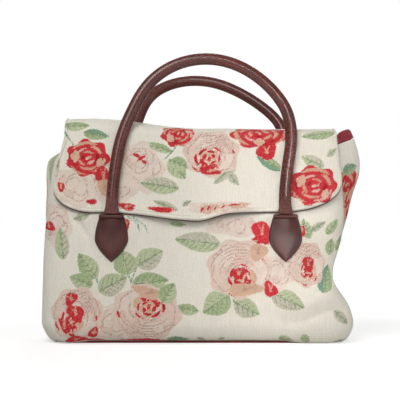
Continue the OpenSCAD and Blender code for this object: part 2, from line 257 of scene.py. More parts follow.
def crescent(u, v, x, z, radius, middle, half, width):
    """Stroke along an arc, thickest in the middle and drawn to points at its ends."""
    r, a = np.hypot(u - x, v - z), np.arctan2(v - z, u - x) - middle
    t = (np.mod(a + np.pi, 2 * np.pi) - np.pi) / half
    on = width * np.sqrt(np.clip(1 - t * t, 0, 1)) - np.abs(r - radius)
    return np.where(np.abs(t) < 1, on, -np.hypot((np.abs(t) - 1) * half * radius, r - radius) - 0.2)


def line(u, v, x0, z0, x1, z1, width):
    """Straight stroke that thins towards its end."""
    dx, dz = x1 - x0, z1 - z0
    t = np.clip(((u - x0) * dx + (v - z0) * dz) / (dx * dx + dz * dz), 0, 1)
    return width * (1 - 0.5 * t) - np.hypot(u - x0 - t * dx, v - z0 - t * dz)


def leaf(fields, u, v, kind, x0, z0, x1, z1, width):
    """Leaf from its stalk to its tip: a pointed oval with a saw edge, a second tone on one side of the
    midrib, and veins that slant forward."""
    body, other = {"leaf": ("leaf", "mid"), "mid": ("mid", "leaf"), "teal": ("mid", "teal"),
                   "half": ("grey", "leaf"), "grey": ("grey", "grey")}[kind]
    dx, dz = x1 - x0, z1 - z0
    size = np.hypot(dx, dz)
    t = ((u - x0) * dx + (v - z0) * dz) / size**2
    s = ((v - z0) * dx - (u - x0) * dz) / size
    half = width * np.sin(np.pi * np.clip(t, 0, 1) ** 0.8) ** 0.8
    saw = 0.35 * np.sin(t * size * 1.9)
    inside = np.where((t > 0) & (t < 1), np.minimum(half + saw - np.abs(s), size * np.minimum(t, 1 - t)),
                      -np.hypot(np.maximum(-t, t - 1) * size, s) - 0.1)
    paint(fields, body, inside)
    paint(fields, other, np.minimum(inside, s - 0.15 * width * np.sin(t * 5)))
    veins = 0.6 - np.abs(np.mod(t * size - 0.9 * np.abs(s), 6.0) - 3.0)
    stroke_over(fields, "vein", np.minimum(np.minimum(inside - 1.2, veins), 0.75 * width - np.abs(s)))
    stroke_over(fields, "vein", np.minimum(inside, 0.7 - np.abs(s)))


# Golden angle in radians: strokes turned by it never line up.
GOLDEN = 2.4


def red_rose(fields, u, v, x, z, wide, high, turn):
    """Full red rose: a lobed mass with two tan petals on its rim, and strokes of tan, blush and wine that
    wind round its heart by the golden angle."""
    paint(fields, "red", blob(u, v, x, z, wide, high, 0.0, 7, 0.09, turn))
    for out, size in ((turn + 2.5, 0.30), (turn - 0.9, 0.22)):
        paint(fields, "tan", blob(u, v, x + 0.6 * wide * np.cos(out), z + 0.6 * high * np.sin(out),
                                  size * high, 0.7 * size * high, out + 1.6, 4, 0.12))
    p = (u - x) * high / wide + x
    for k in range(13):
        ink = ("tan", "wine", "blush", "tan")[k % 4]
        middle, radius = turn + GOLDEN * k, high * (0.16 + 0.063 * k)
        half, width = 0.55 + 0.07 * (k % 4), high * (0.05 + 0.014 * (k % 3))
        stroke_over(fields, ink, crescent(p, v, x, z, radius, middle, half, width))
    paint(fields, "tan", blob(u, v, x, z, 0.09 * wide, 0.06 * high, turn))


def petal(fields, u, v, ink, x, z, long, short, way):
    """One petal: a waved oval across its way out, with a thin dark rim on the outer side."""
    rim, turn, lobes = 0.5, way + np.pi / 2, (5, 0.07, x + z)
    stroke_over(fields, "line", blob(u, v, x, z, long + rim, short + rim, turn, *lobes))
    x, z = x - rim * np.cos(way), z - rim * np.sin(way)
    paint(fields, ink, blob(u, v, x, z, long, short, turn, *lobes))


def blush_rose(fields, u, v, x, z, wide, high, turn, heart):
    """Pale rose seen a little from its side: a blush mass with paler petals on its rim, thin arcs of petal
    edges round the far side of a heart off its middle, which winds in red strokes by the golden angle."""
    paint(fields, "blush", blob(u, v, x, z, wide, high, 0.0, 7, 0.06, turn))
    for k in range(4):
        a = turn + 1.3 + 1.25 * k
        ink = ("pale", "blush")[k % 2]
        petal(fields, u, v, ink, x + 0.62 * wide * np.cos(a), z + 0.62 * high * np.sin(a),
              0.46 * high, 0.27 * high, a)
    x, z = x + 0.2 * wide * np.cos(turn), z + 0.2 * high * np.sin(turn)
    p = (u - x) * high / wide + x
    paint(fields, "tan", crescent(p, v, x, z, 0.36 * high, turn + 0.5, 1.5, 0.17 * high))
    for k in range(7):
        radius, middle = high * (0.34 + 0.105 * k), turn + np.pi + 0.5 * np.sin(GOLDEN * k)
        stroke_over(fields, "line", crescent(p, v, x, z, radius, middle, 1.25 - 0.07 * k, 0.55))
    paint(fields, "tan", blob(p, v, x, z, 0.8 * heart, 0.7 * heart, turn, 3, 0.12, turn))
    paint(fields, "red", blob(p, v, x, z, 0.2 * heart, 0.14 * heart, turn + 0.8))
    for k in range(11):
        middle, radius = turn + GOLDEN * k, heart * (0.26 + 0.085 * k)
        width = heart * (0.11 + 0.035 * (k % 3))
        paint(fields, "red", crescent(p, v, x, z, radius, middle, 0.75 - 0.025 * k, width))
        if k % 3 == 1:
            stroke_over(fields, "wine", crescent(p, v, x, z, radius, middle + 0.2, 0.4, 0.06 * heart))
    for k in range(5):
        a = turn - 0.8 + 0.4 * k
        root, tip = heart * 0.7, heart * (1.25 + 0.25 * (k % 2))
        paint(fields, "red", line(p, v, x + root * np.cos(a), z + root * np.sin(a),
                                  x + tip * np.cos(a + 0.2), z + tip * np.sin(a + 0.2), 0.13 * heart))
    for out, reach, half in ((-0.5, 0.72, 0.3), (0.5, 0.62, 0.22), (2.2, 0.9, 0.16)):
        paint(fields, "red", crescent(p, v, x, z, reach * high, turn + out, half, 0.05 * high))


def pale_petals(fields, u, v, x, z, wide, high, turn):
    """Loose pale petals: a faint patch with petals laid over it, turned by the golden angle."""
    paint(fields, "pale", blob(u, v, x, z, wide, high, 0.0, 5, 0.12, turn))
    for k in range(7):
        a, reach, size = turn + GOLDEN * k, 0.62 - 0.07 * k, min(wide, high)
        ink = ("pale", "blush", "pale")[k % 3]
        petal(fields, u, v, ink, x + reach * wide * np.cos(a), z + reach * high * np.sin(a),
              0.40 * size, 0.25 * size, a)


def patch(ink, stroke):
    """Painter of one lobed patch of an ink, with two strokes of another where it is big enough."""
    def draw(fields, u, v, x, z, wide, high, turn):
        paint(fields, ink, blob(u, v, x, z, wide, high, turn, 3, 0.13, x))
        for k in range(2 if min(wide, high) > 3.5 else 0):
            a = turn + 0.7 + 0.9 * k
            stroke_over(fields, stroke, line(u, v, x - 0.2 * wide * np.cos(a), z - 0.2 * high * np.sin(a),
                                             x + 0.75 * wide * np.cos(a), z + 0.75 * high * np.sin(a), 1.0))
    return draw


def stem(fields, u, v, x0, z0, x1, z1):
    """Thin stalk."""
    paint(fields, "teal", line(u, v, x0, z0, x1, z1, 0.9))


MOTIFS = {
    "leaf": leaf, "red_rose": red_rose, "blush_rose": blush_rose, "petals": pale_petals,
    "stem": stem, "red": patch("red", "tan"), "tan": patch("tan", "line"),
}
FAR_OUT, MOTIF_MARGIN = -50.0, 20.0


def draw_print(u, v, sprays):
    """Fields of the woven print on points of the flat cloth: every motif is painted over the last, on the
    points in a box a margin wider than it. A leaf and a stem run between two places, and every other
    motif has a middle, a half width and height, and a turn, in millimetres and radians."""
    fields = {name: np.full(u.shape, FAR_OUT) for name in INKS}
    for motif, *rest in sprays:
        x0, z0, x1, z1 = [n for n in rest if not isinstance(n, str)][:4]
        if motif not in ("leaf", "stem"):
            x0, x1, z0, z1 = x0 - x1, x0 + x1, z0 - z1, z0 + z1
        near = (u > min(x0, x1) - MOTIF_MARGIN) & (u < max(x0, x1) + MOTIF_MARGIN)
        near &= (v > min(z0, z1) - MOTIF_MARGIN) & (v < max(z0, z1) + MOTIF_MARGIN)
        if near.any():
            local = {name: field[near] for name, field in fields.items()}
            MOTIFS[motif](local, u[near], v[near], *rest)
            for name in fields:
                fields[name][near] = local[name]
    return fields


BODY_SPRAYS = [
    ("petals", -153, 128, 16, 25, 1.2), ("red", -163, 126, 5, 9, 1.4),
    ("petals", -92, 22, 22, 22, 0.5), ("leaf", "half", -145, 90, -149, 126, 8),
    ("leaf", "grey", -117, 140, -135, 134, 5), ("stem", -109, 70, -104, 54),
    ("stem", -75, 74, -70, 60), ("stem", -66, 84, -72, 66), ("stem", -76, 137, -65, 129),
    ("stem", -65, 129, -64, 120), ("stem", -70, 137, -58, 128), ("stem", -58, 128, -54, 119),
    ("stem", 33, 53, 36, 58), ("stem", 38, 45, 35, 56), ("leaf", "leaf", -109, 70, -129, 97, 10),
    ("leaf", "mid", -113, 62, -138, 72, 9), ("leaf", "half", -107, 56, -76, 72, 12),
    ("leaf", "leaf", -75, 74, -82, 101, 13), ("leaf", "half", -66, 84, -38, 101, 12),
    ("leaf", "leaf", -71, 64, -32, 69, 11), ("leaf", "mid", 0, 35, -27, 39, 6),
    ("leaf", "half", 24, 109, -26, 114, 11), ("leaf", "teal", -35, 1, -10, 3, 5),
    ("leaf", "half", 78, 57, 113, 38, 12), ("leaf", "leaf", 33, 53, 5, 33, 14),
    ("leaf", "half", 38, 45, 65, 31, 11), ("leaf", "teal", 134, 57, 140, 90, 9),
    ("leaf", "grey", 145, 36, 160, 21, 6), ("leaf", "mid", 85, 6, 102, 2, 5),
    ("leaf", "leaf", 112, 12, 116, -2, 5), ("leaf", "leaf", 119, 118, 113, 140, 6),
    ("leaf", "grey", 120, 127, 137, 138, 4), ("leaf", "mid", 137, 124, 151, 141, 5),
    ("leaf", "leaf", 140, 101, 144, 120, 6), ("leaf", "mid", 150, 105, 156, 123, 4),
    ("leaf", "grey", -2, 6, 8, 1, 3), ("leaf", "grey", 21, 2, 28, 6, 3),
    ("leaf", "mid", -31, 131, -13, 129, 3), ("blush_rose", -130, 32, 27, 28, -2.2, 11),
    ("red", -136, 48, 8, 6, 0.9), ("red", -143, 19, 4, 10, 0.6), ("red", -131, 33, 8, 10, 0.9),
    ("red", -131, 4, 12, 5, 0.1), ("red", -112, 12, 5, 7, -0.6),
    ("blush_rose", -56, 33, 37, 30, 1.2, 12), ("tan", -52, 55, 20, 6, -0.25),
    ("leaf", "leaf", -39, 44, -26, 66, 10), ("petals", 39, 129, 32, 11, 0.3),
    ("red", 68, 124, 9, 13, 0.5), ("red", 60, 113, 10, 4, 0.3), ("petals", 84, 80, 18, 20, 0.8),
    ("blush_rose", 44, 82, 34, 33, -1.4, 12), ("red", 43, 78, 9, 6, 0.3),
    ("tan", 64, 102, 10, 9, 0.6), ("tan", 50, 60, 19, 7, 0.1), ("red", 77, 61, 7, 10, 0.4),
    ("red", 111, 127, 4, 6, 0.2), ("blush_rose", 116, 90, 20, 25, -1.3, 9),
    ("red", 118, 91, 6, 9, 0.2), ("red", -78, 129, 4, 6, 0.0), ("red", -112, 1, 12, 2, 0.0),
    ("red", -60, 1, 24, 2, 0.0),
]
STEP = 1.6


def surface(name, points, mat, wrap=False, cap=False, places=None, fields=None):
    """Mesh object of a grid of points in millimetres: rows go up and columns to the right, seen from
    outside. wrap closes the columns on themselves, and cap closes the first and last row."""
    rows, cols = points.shape[:2]
    index = np.arange(rows * cols).reshape(rows, cols)
    ahead = np.roll(index, -1, axis=1) if wrap else index[:, 1:]
    here = index if wrap else index[:, :-1]
    quads = np.stack([here[:-1], ahead[:-1], ahead[1:], here[1:]], axis=-1).reshape(-1, 4).tolist()
    if cap:
        quads += [index[0][::-1].tolist(), index[-1].tolist()]
    mesh = bpy.data.meshes.new(name)
    mesh.from_pydata((points.reshape(-1, 3) / 1000).tolist(), [], quads)
    mesh.shade_smooth()
    mesh.materials.append(mat)
    if places is not None:
        corners = np.empty(len(mesh.loops), dtype=np.int32)
        mesh.loops.foreach_get("vertex_index", corners)
        flat = np.stack([p.ravel() for p in places], axis=-1)[corners] / 1000
        mesh.uv_layers.new(name="cloth").data.foreach_set("uv", flat.astype(np.float32).ravel())
    for ink, field in (fields or {}).items():
        layer = mesh.attributes.new("ink_" + ink, "FLOAT", "POINT")
        layer.data.foreach_set("value", field.astype(np.float32).ravel())
    piece = bpy.data.objects.new(name, mesh)
    bpy.context.scene.collection.objects.link(piece)
    return piece


def thicken(piece, millimetres):
    """Gives a sheet its thickness, inwards."""
    wall = piece.modifiers.new("thickness", "SOLIDIFY")
    wall.thickness, wall.offset = millimetres / 1000, -1.0


def tapestry_cloth():
    """Jacquard cloth: each ink shows where its field is positive, with an edge stepped by the threads,
    pale flecks of the other threads in it, and a fine rep in the height."""
    mat, shader = new_material("tapestry", {"Roughness": 0.9, "Specular IOR Level": 0.25,
                                            "Sheen Weight": 0.05, "Sheen Roughness": 0.6})
    place = add(mat, "UVMap", {}, uv_map="cloth").outputs[0]
    axes = add(mat, "SeparateXYZ", {0: place}).outputs
    cell = add(mat, "VectorMath", {0: place, 1: (0.0009, 0.0009, 1.0)}, operation="SNAP").outputs[0]
    thread = add(mat, "TexWhiteNoise", {0: cell}, noise_dimensions="2D").outputs[0]
    drift = add(mat, "TexNoise", {"Vector": place, "Scale": 90.0, "Detail": 3.0}).outputs[0]
    fleck = add(mat, "TexNoise", {"Vector": place, "Scale": 620.0, "Detail": 2.0}).outputs[0]
    slub_place = add(mat, "VectorMath", {0: place, 1: (700.0, 60.0, 1.0)}, operation="MULTIPLY").outputs[0]
    slub = add(mat, "TexNoise", {"Vector": slub_place, "Scale": 1.0, "Detail": 2.0}).outputs[0]
    ground = blend(mat, ramp(mat, slub, 0.3, 0.7), rgb(234, 229, 217), rgb(225, 220, 207))
    colour = blend(mat, ramp(mat, fleck, 0.35, 0.7), ground, rgb(222, 216, 200))
    jitter = calc(mat, "MULTIPLY", calc(mat, "SUBTRACT", thread, 0.5), 1.1)
    loose = calc(mat, "MAXIMUM", ramp(mat, fleck, 0.5, 0.62), ramp(mat, thread, 0.76, 0.8))
    flecked = {"grey": 0.55, "leaf": 0.35, "mid": 0.3, "teal": 0.25, "vein": 0.3, "pale": 0.6,
               "blush": 0.45, "tan": 0.2, "line": 0.3, "red": 0.06, "wine": 0.0}
    for ink, tone in INKS.items():
        field = add(mat, "Attribute", {}, attribute_name="ink_" + ink).outputs["Fac"]
        shows = ramp(mat, calc(mat, "ADD", field, jitter), -0.35, 0.15)
        gaps = calc(mat, "MULTIPLY", loose, flecked[ink])
        shows = calc(mat, "MULTIPLY", shows, calc(mat, "SUBTRACT", 1.0, gaps))
        dark = tuple(0.82 * c for c in tone[:3]) + (1.0,)
        colour = blend(mat, shows, colour, blend(mat, ramp(mat, drift, 0.4, 0.75, 0.0, 0.6), tone, dark))
    weave = thread_height(mat, axes[0], axes[1], 0.0014)
    height = calc(mat, "ADD", weave, calc(mat, "MULTIPLY", fleck, 1.2))
    bump = add(mat, "Bump", {"Height": height, "Strength": 0.3, "Distance": 0.0003}).outputs[0]
    plug(mat, shader, {"Base Color": colour, "Normal": bump})
    return mat


def slouch(x, z):
    """How far the front stands out or sinks: a soft fold low on the right, the hollow by the crease with
    folds that run from it, a slanting fold under the left of the flap, slow waves and a few crossing
    creases, all of it still under the tabs and the flap."""
    low = z - 37.0 - 13.0 * ease(100.0, 145.0, x)
    pouch = (4.5 * bell(low, 0.0, 7.0, 9.0) - 3.0 * bell(low, -15.0, 6.0, 5.0)) * ease(70.0, 116.0, x)
    pouch -= 1.8 * bell(z - 54.0 + 0.35 * (x - 126.0), 0.0, 2.0, 4.0) * ease(112.0, 126.0, x)
    sink = -7.0 * bell(z, 72.0, 12.0, 24.0) * ease(96.0, 136.0, x)
    sink += 3.0 * bell(z - 92.0 + 0.5 * (x - 150.0), 0.0, 5.0, 6.0) * ease(70.0, 116.0, x)
    slant = (x + 116.0) * 0.832 + (z - 118.0) * 0.555
    slant_fold = 4.2 * bell(slant, 3.0, 4.0, 8.0) - 2.8 * bell(slant, -5.0, 6.0, 3.5)
    sink += slant_fold * bell(z, 116.0, 30.0, 34.0) * ease(-86.0, -104.0, x)
    sink += 1.5 * np.sin(x / 31.0 + z / 41.0) * np.sin(z / 27.0 - x / 57.0)
    for k in range(6):
        c, d = np.cos(GOLDEN * k), np.sin(GOLDEN * k)
        wave = np.sin((x * c + z * d) / (11.0 + 2.6 * k) + 1.7 * k + 0.9 * np.sin((z * c - x * d) / 24.0))
        sink += 0.6 * (1 - np.abs(wave)) ** 2
    by_tab = (1 - ease(20.0, 28.0, np.abs(np.abs(x) - NECK_X))) * ease(74.0, 86.0, z)
    loose = 1 - np.maximum(by_tab, ease(128.0, 142.0, z))
    sink = sink * ease(2.0, 28.0, right_x(z) - x) * ease(2.0, 28.0, x - left_x(z))
    return (sink + pouch * ease(1.0, 15.0, right_x(z) - x)) * loose * ease(2.0, 14.0, z)


def sag(points):
    """How far the low edge of the cloth hangs over the rim of the base, towards the two ends."""
    x, y, z = np.abs(points[..., 0] + 12.0), np.abs(points[..., 1]), points[..., 2]
    past_rim = np.maximum(ease(38.0, 42.0, y), ease(149.0, 154.0, np.abs(points[..., 0])))
    hang = (0.9 + 3.1 * ease(92.0, 132.0, x)) * (1 - ease(3.0, 16.0, z)) * past_rim
    return np.minimum(hang, np.maximum(z - 0.2, 0.0))


tapestry = tapestry_cloth()
levels, insets = panel_levels(STEP)
front = front_grid(levels, insets, STEP)
first_flat = int(EDGE_W * 1.5 / STEP) + 1
roll_row = int(BASE_ROLL * np.pi / 2 / STEP)
front_u, front_v = cloth_places(front, first_flat, roll_row, front[:, first_flat:first_flat + 1, 0], ROLL_Z)
front_shape = front + normals(front) * slouch(front[..., 0], front[..., 2])[..., None]
front_shape[..., 2] -= sag(front)
front_panel = surface("front_panel_cloth", front_shape, tapestry, places=(front_u, front_v),
                      fields=draw_print(front_u, front_v, BODY_SPRAYS))
thicken(front_panel, CLOTH_T)
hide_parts("front_panel")
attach(front_panel, "bag")

# Back panel: the same cut as the front, sewn to the gussets and the base. The print runs on higher
# here, because no flap hides it.
FLAP_SPRAYS = [
    ("petals", -134, 166, 28, 22, 0.4), ("petals", -92, 172, 26, 30, 1.0),
    ("petals", -60, 186, 22, 26, 0.2), ("leaf", "leaf", -146, 235, -118, 235, 7),
    ("leaf", "teal", -125, 226, -97, 222, 6), ("leaf", "mid", -29, 205, -59, 215, 5),
    ("leaf", "leaf", -32, 196, -14, 174, 9), ("leaf", "leaf", -30, 195, -10, 187, 8),
    ("leaf", "half", -21, 164, -64, 171, 9), ("leaf", "grey", -22, 140, -49, 151, 4),
    ("leaf", "grey", -17, 145, -8, 151, 3), ("leaf", "grey", 31, 183, 17, 169, 5),
    ("leaf", "grey", 32, 181, 44, 168, 5), ("leaf", "grey", 30, 181, 41, 190, 5),
    ("leaf", "teal", 90, 185, 62, 202, 6), ("leaf", "leaf", 148, 227, 111, 222, 6),
    ("leaf", "half", 137, 188, 111, 201, 7), ("leaf", "grey", 140, 200, 150, 209, 4),
    ("leaf", "grey", -160, 211, -155, 181, 5), ("stem", -145, 227, -135, 212),
    ("stem", -29, 205, -37, 196), ("stem", -29, 205, -24, 212), ("stem", 30, 181, 25, 188),
    ("red_rose", -120, 198, 23, 20, 0.5), ("red", -103, 178, 8, 12, 0.6),
    ("tan", -102, 166, 7, 9, 0.2), ("red", -151, 166, 5, 6, 0.4), ("red", -116, 150, 6, 3, 0.0),
    ("red", -78, 145, 9, 4, -0.2), ("red", -40, 141, 14, 3, -0.1), ("petals", -66, 196, 20, 20, 0.3),
    ("red", -67, 201, 5, 2.2, -0.4), ("red", -62, 198, 6, 2, 0.5), ("red", -59, 194, 4, 2, -0.5),
    ("red_rose", -22, 226, 18, 15, 1.3), ("blush_rose", 14, 203, 30, 26, -1.9, 12),
    ("red", 12, 183, 13, 4, -0.15), ("red_rose", 66, 226, 30, 17, 2.2), ("red", 74, 206, 11, 9, 0.5),
    ("petals", 22, 143, 34, 7, 0.3), ("tan", 12, 142, 11, 5, 0.2), ("tan", 42, 146, 14, 3.4, 0.05),
    ("red", 4, 141, 1.6, 3.4, -0.4), ("red", 11, 143, 1.6, 4, -0.5), ("red", 18, 142, 1.4, 3.4, -0.3),
    ("red", 27, 144, 3, 1.6, 0.4), ("red", 40, 146.5, 9, 1.4, 0.05),
    ("red_rose", 126, 168, 27, 21, 0.2), ("leaf", "half", -104, 290, -134, 304, 9),
    ("leaf", "leaf", -78, 296, -52, 310, 9), ("blush_rose", -96, 288, 26, 24, 0.8, 10),
    ("leaf", "teal", 36, 280, 12, 292, 7), ("leaf", "leaf", 78, 300, 104, 306, 8),
    ("red_rose", 56, 290, 24, 20, 1.1), ("leaf", "mid", -20, 262, -2, 276, 6),
    ("petals", 122, 272, 22, 18, 0.4), ("leaf", "grey", -140, 262, -122, 272, 6),
]
back_shape = front_shape[:, ::-1] * np.array([1.0, -1.0, 1.0])
back_u, back_v = -front_u[:, ::-1], front_v[:, ::-1]
back_panel = surface("back_panel_cloth", back_shape, tapestry, places=(back_u, back_v),
                     fields=draw_print(back_u + 12, back_v, BODY_SPRAYS + FLAP_SPRAYS))
thicken(back_panel, CLOTH_T)
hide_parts("back_panel")
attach(back_panel, "bag")

# Gussets: long narrow cuts let in between the two panels. They swell out near the mouth and tuck in
# lower down, with a soft fold down the middle.
GUSSET_COLS = 45
GUSSET_SPRAYS = {
    1: [
        ("red_rose", -18, 168, 14, 30, 0.9), ("tan", -22, 135, 8, 16, 0.1),
        ("leaf", "teal", -26, 190, -8, 200, 6), ("leaf", "mid", -30, 96, -20, 124, 7),
        ("leaf", "leaf", 6, 110, 16, 136, 8), ("petals", 4, 60, 22, 24, 0.3),
        ("blush_rose", 10, 180, 18, 20, 0.5, 8), ("leaf", "half", -20, 30, 2, 44, 8),
        ("red", 14, 86, 5, 8, 0.2),
    ],
    -1: [
        ("leaf", "leaf", 14, 214, 22, 166, 9), ("leaf", "grey", 34, 206, 30, 172, 5),
        ("petals", 20, 130, 12, 26, 0.4), ("red", 26, 126, 5, 9, 0.2),
        ("leaf", "mid", 28, 70, 20, 100, 7), ("leaf", "teal", 30, 40, 24, 62, 6),
        ("blush_rose", -4, 160, 18, 22, 0.5, 8), ("leaf", "leaf", -14, 90, -4, 116, 8),
        ("blush_rose", 0, 42, 22, 22, 1.2, 9), ("red", 30, 20, 5, 7, 0.4),
    ],
}


def gusset_out(z, side):
    """How far a gusset stands out in its middle at a height. The left one tucks in again at the mouth."""
    return (23.0 if side > 0 else 8.0 - 12.0 * ease(196.0, BODY_H, z)) * bell(z, 192.0, 48.0, 48.0)


def gusset_grid(z, inset, side, share):
    """Points of a gusset from the seam on its left to the one on its right, seen from outside: a sine
    arch between the seams. The right one also rises at the mouth."""
    z, inset = z[:, None], inset[:, None]
    x = right_x(z) - inset if side > 0 else left_x(z) + inset
    y = half_d(z) - inset - edge_d(z)
    depth, arch = side * y * (2 * share - 1), np.sin(np.pi * share)
    rise = (7.0 if side > 0 else 0.0) * ease(152.0, PANEL_TOP, z)
    seam, x = x, x + side * gusset_out(z, side) * arch
    return np.stack([x + drawn_in(seam, z), depth, z + rise * arch - droop(seam, z)], axis=-1)


def gusset_tuck(points):
    """How far a gusset stands out or sinks: a fold down its middle and small waves."""
    z = points[..., 2]
    across = points[..., 1] / np.maximum(half_d(z) - edge_d(z), 1.0)
    soft = -3.5 * bell(across, 0.0, 0.25, 0.25) * bell(z, 105.0, 50.0, 60.0)
    soft += 0.6 * np.sin(z / 9.0 + 3 * across) * ease(40.0, 90.0, z)
    return soft * np.clip(1 - across**2, 0, 1) * ease(2.0, 20.0, z)


for side, name in ((1, "right_gusset"), (-1, "left_gusset")):
    grid = gusset_grid(levels, insets, side, np.linspace(0, 1, GUSSET_COLS))
    tucked = grid + normals(grid) * gusset_tuck(grid)[..., None]
    tucked[..., 2] -= sag(grid)
    u, v = cloth_places(grid, GUSSET_COLS // 2, roll_row, 0.0, ROLL_Z)
    gusset = surface(name + "_cloth", tucked, tapestry, places=(u, v),
                     fields=draw_print(u, v, GUSSET_SPRAYS[side]))
    thicken(gusset, CLOTH_T)
    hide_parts(name)
    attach(gusset, "bag")

# Lining: a bag of dark red cloth inside, turned over the top edges of the panels as a soft rolled
# binding, which shows at the ends of the mouth.
LINING_IN = CLOTH_T + 0.2
LINING_T, LINING_STEP, LINING_EASE = 0.8, 3.0, 1.0
lining_cloth = plain_cloth("lining_cloth", rgb(128, 18, 34), rgb(148, 32, 46), 0.0009)


def mouth_ring(z, inset, step):
    """Closed rows round the whole body: front, right gusset, back and left gusset, with the same slouch
    as the panels outside."""
    face = front_grid(z, inset, step)
    face = face - np.array([0.0, 1.0, 0.0]) * slouch(face[..., 0], face[..., 2])[..., None]
    share = np.linspace(0, 1, 25)[1:-1]
    ends = {}
    for side in (1, -1):
        end = gusset_grid(z, inset, side, share)
        ends[side] = end + np.array([side, 0.0, 0.0]) * gusset_tuck(end)[..., None]
    return np.hstack([face, ends[1], face[:, ::-1] * np.array([1.0, -1.0, 1.0]), ends[-1]])


# The binding puffs up past the right end of the flap and drops over at the corner.
binding_a = np.linspace(0, np.pi, 9)
roll_out = np.array([LINING_IN, 0.2, -0.3, -0.4, -0.2])
bound_z = np.concatenate([PANEL_TOP + np.array([0.3, 0.5, 1.5, 3.5]), [BODY_H - 2.0],
                          BODY_H - 1.3 + 1.3 * np.sin(binding_a[1:-1]), [BODY_H - 2.0]])
bound_in = np.concatenate([roll_out, 1.2 - 1.4 * np.cos(binding_a[1:-1]), [LINING_IN + LINING_T]])
inner_z, inner_in = panel_levels(LINING_STEP, PANEL_TOP, LINING_IN + LINING_T + LINING_EASE)
keep = inner_z > BASE_T + 3.6
low_z, low_in = panel_levels(LINING_STEP, PANEL_TOP, LINING_IN + LINING_EASE)
under = low_z > BASE_T + 2.8
ring_z = np.concatenate([low_z[under], bound_z, inner_z[keep][::-1]])
ring_in = np.concatenate([low_in[under], bound_in, inner_in[keep][::-1]])
ring = mouth_ring(ring_z, ring_in, LINING_STEP)
beyond = right_x(BODY_H) - 1.0
past = np.clip((ring[..., 0] - beyond) / (ring[..., 0].max() - beyond), 0, 1)
puff = 4.0 * (1 - past) + 1.0 * np.sin(np.pi * past) - 5.0 * ease(0.5, 1.0, past)
ring[..., 2] += puff * ease(0.0, 0.2, past) * ease(PANEL_TOP + 1.0, BODY_H - 2.0, ring_z)[:, None]
lining = surface("lining_bag", ring, lining_cloth, wrap=True, cap=True)
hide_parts("lining")
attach(lining, "bag")

# Flap lining: cloth under the flap, sewn to the cover along the hem. Its dark brown, near black, is painted
# shade, and its edge hangs just below the hem as a painted shadow line under the flap. Cover and lining
# follow one sheet: it starts on the back panel, folds over the mouth and hangs down the front to the hem.
FLAP_GAP, FOLD_Z, FLAP_TAIL = 0.4, BODY_H + 1.0, 28.0
HEM_Z, HEM_DIP = NECK_Z + 5.5, 9.0
SNAP_Z, SNAP_LIFT = HEM_Z - HEM_DIP + 20.0, 4.8
FLAP_T = LINING_T + 0.2 + CLOTH_T
CORNER_L, CORNER_R = 46.0, 70.0


def flap_left(z):
    """Left edge of the flap at a height: just inside the seam, drawn in at the top fold."""
    return left_x(np.minimum(z, BODY_H)) + 5.5 + 1.0 * ease(BODY_H - 26.0, BODY_H + 4.0, z)


def flap_right(z):
    """Right edge of the flap at a height, just inside the seam."""
    return right_x(np.minimum(z, BODY_H)) - 2.0


def hem_height(share):
    """Height of the hem across the flap: a dip over the snap and an elliptic corner at each end."""
    wide = flap_right(HEM_Z) - flap_left(HEM_Z)
    x = flap_left(HEM_Z) + wide * share
    height = HEM_Z - HEM_DIP * bell(x, 0.0, 58.0, 23.0)
    for end, width, rise in ((share, CORNER_L / wide, 28.0), (1 - share, CORNER_R / wide, 32.0)):
        height = height + rise * (1 - np.sqrt(1 - np.clip(1 - end / width, 0, 1) ** 2))
    return height


def flap_lift(x, z):
    """How far the flap stands off the front: over the snap, fading to the sides and upwards."""
    return SNAP_LIFT * (1 - ease(30.0, 68.0, np.abs(x))) * (1 - ease(SNAP_Z + 30.0, SNAP_Z + 68.0, z))


def hem_curl(x, up):
    """How far the hem curls away from the front, fading upwards, and nothing under the handles."""
    free = (1 - ease(0.0, 26.0, up)) ** 2 * ease(12.0, 34.0, np.abs(np.abs(x) - NECK_X))
    return free * (2.4 + 1.2 * ease(100.0, 140.0, x) + 0.6 * np.sin(x / 13.0))


def flap_sheet(share, off, low, front_rows, fold_rows, tail_rows):
    """Grid of the flap at a distance off its inner face: up the front from just below the hem, over the
    fold on a half ellipse that rises to the left, and down the back."""
    hem = hem_height(share) - low
    t = np.linspace(0, 1, front_rows)[:, None]
    z = hem + (FOLD_Z - hem) * t
    x = flap_left(z) + (flap_right(z) - flap_left(z)) * share
    stand = half_d(z) + FLAP_GAP + off + flap_lift(x, z) + hem_curl(x, z - hem)
    parts = [np.stack([x, -stand, z], axis=-1)]
    a = np.linspace(0, np.pi, fold_rows)[1:-1, None]
    x = flap_left(FOLD_Z) + (flap_right(FOLD_Z) - flap_left(FOLD_Z)) * share + 0 * a
    rise = 5.5 + 11.0 * (1 - ease(-110.0, 10.0, x)) + off
    depth = -(half_d(FOLD_Z) + FLAP_GAP + off) * np.cos(a) + 0 * x
    parts.append(np.stack([x, depth, FOLD_Z + rise * np.sin(a)], axis=-1))
    z = FOLD_Z + (BODY_H - FLAP_TAIL - FOLD_Z) * np.linspace(0, 1, tail_rows)[:, None] + 0 * share
    x = flap_left(z) + (flap_right(z) - flap_left(z)) * share
    parts.append(np.stack([x, half_d(z) + FLAP_GAP + off, z], axis=-1))
    return np.concatenate(parts)


def flap_shares(step):
    """Columns of the flap, close together where its corners are round."""
    wide = flap_right(HEM_Z) - flap_left(HEM_Z)
    a = np.linspace(0, np.pi / 2, int(60 / step))[:-1]
    left, right = CORNER_L / wide * (1 - np.cos(a)), 1 - CORNER_R / wide * (1 - np.cos(a))
    middle = np.linspace(CORNER_L / wide, 1 - CORNER_R / wide, int((wide - CORNER_L - CORNER_R) / step))
    return np.concatenate([left, middle, right[::-1]])
